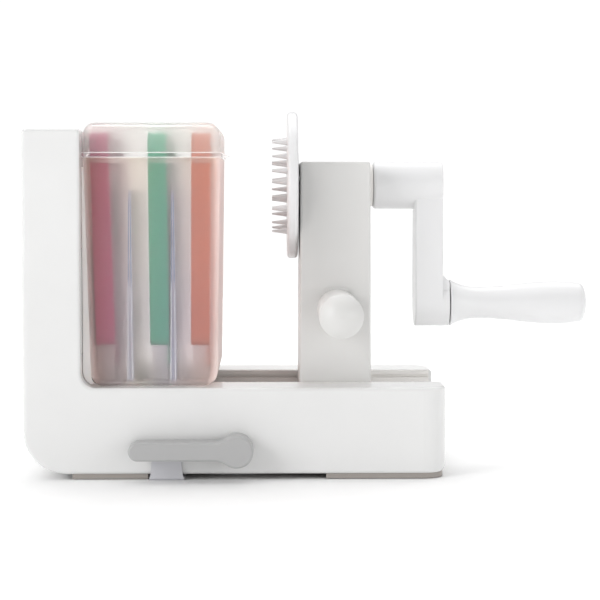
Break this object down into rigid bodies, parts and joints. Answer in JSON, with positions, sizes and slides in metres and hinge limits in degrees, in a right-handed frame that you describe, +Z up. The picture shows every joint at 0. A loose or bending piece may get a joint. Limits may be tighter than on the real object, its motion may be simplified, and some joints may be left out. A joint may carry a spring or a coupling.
{
  "type": "crank spiralizer",
  "caption": "Tabletop vegetable spiralizer: crank and spiked food holder on a sliding post, suction lever, and a translucent box that stores blade cartridges.",
  "frame": {"origin": "on the table, under the middle of the housing's footprint, on the underside of the suction cup", "axes": "+X along the base from the column to the crank, along the crank's axis; +Y away from the lever's side; +Z up"},
  "size_m": [0.3434, 0.1753, 0.2184],
  "materials": {
    "housing_white": "satin moulded white",
    "post_white": "satin moulded warm white",
    "crank_white": "satin moulded white",
    "liner_grey": "matt moulded grey",
    "cover_grey": "matt moulded grey",
    "lever_grey": "satin moulded grey",
    "cup_rubber": "smooth grey rubber",
    "foot_rubber": "matt grey rubber",
    "steel": "bright steel",
    "box_frosted": "frosted translucent",
    "fine_pink": "moulded magenta",
    "wide_green": "moulded green",
    "ribbon_coral": "moulded coral"
  },
  "bodies": {
    "frame": {"base_frame": "housing_white", "front_rail_liner": "liner_grey", "back_rail_liner": "liner_grey", "bottom_cover": "cover_grey", "cover_screws": "steel", "rubber_feet": "foot_rubber", "lever_bush": "liner_grey", "suction_cup": "cup_rubber"},
    "lever": {"suction_lever": "lever_grey", "cam_shaft": "lever_grey"},
    "stem": {"cup_stem": "liner_grey"},
    "carriage": {"carriage_post": "post_white", "carriage_shoe": "cover_grey", "shoe_screws": "steel", "holder_side_bush": "liner_grey", "crank_side_bush": "liner_grey", "push_handle": "post_white", "handle_screw": "steel"},
    "crank": {"crank_shaft": "steel", "food_holder": "crank_white", "crank_arm": "crank_white", "shaft_screw": "steel", "hub_cap": "crank_white", "grip_pin": "steel"},
    "grip": {"crank_grip": "crank_white", "grip_cap": "crank_white"},
    "storage_box": {"blade_box": "box_frosted"},
    "storage_lid": {"box_lid": "box_frosted"},
    "fine_unit": {"fine_cartridge": "fine_pink", "fine_blade": "steel"},
    "wide_unit": {"wide_cartridge": "wide_green", "wide_blade": "steel"},
    "ribbon_unit": {"ribbon_cartridge": "ribbon_coral", "ribbon_blade": "steel"}
  },
  "joints": [
    {"name": "lever_turn", "type": "hinge", "parent": "frame", "child": "lever", "pos_m": [0.001, 0, 0.0188], "axis": [0, 1, 0], "range_deg": [0, 180]},
    {"name": "stem_lift", "type": "slide", "parent": "frame", "child": "stem", "axis": [0, 0, 1], "range_m": [0, 0.0041], "deforming": ["suction_cup"]},
    {"name": "carriage_slide", "type": "slide", "parent": "frame", "child": "carriage", "axis": [1, 0, 0], "range_m": [-0.024, 0.04]},
    {"name": "crank_turn", "type": "hinge", "parent": "carriage", "child": "crank", "pos_m": [0.06, 0, 0.1732], "axis": [1, 0, 0], "continuous": true},
    {"name": "grip_spin", "type": "hinge", "parent": "crank", "child": "grip", "pos_m": [0.17, 0, 0.0999], "axis": [1, 0, 0], "continuous": true},
    {"name": "box_lift", "type": "slide", "parent": "frame", "child": "storage_box", "axis": [0, 0, 1], "range_m": [0, 0.16]},
    {"name": "lid_lift", "type": "slide", "parent": "storage_box", "child": "storage_lid", "axis": [0, 0, 1], "range_m": [0, 0.16]},
    {"name": "fine_lift", "type": "slide", "parent": "storage_box", "child": "fine_unit", "axis": [0, 0, 1], "range_m": [0, 0.136]},
    {"name": "wide_lift", "type": "slide", "parent": "storage_box", "child": "wide_unit", "axis": [0, 0, 1], "range_m": [0, 0.136]},
    {"name": "ribbon_lift", "type": "slide", "parent": "storage_box", "child": "ribbon_unit", "axis": [0, 0, 1], "range_m": [0, 0.136]}
  ],
  "couplings": [
    {"joint": "stem_lift", "follows": "lever_turn", "m_per_rad": 0.0012732},
    {"joint": "fine_lift", "follows": "lid_lift", "ratio": 0.85},
    {"joint": "wide_lift", "follows": "lid_lift", "ratio": 0.85},
    {"joint": "ribbon_lift", "follows": "lid_lift", "ratio": 0.85}
  ]
}
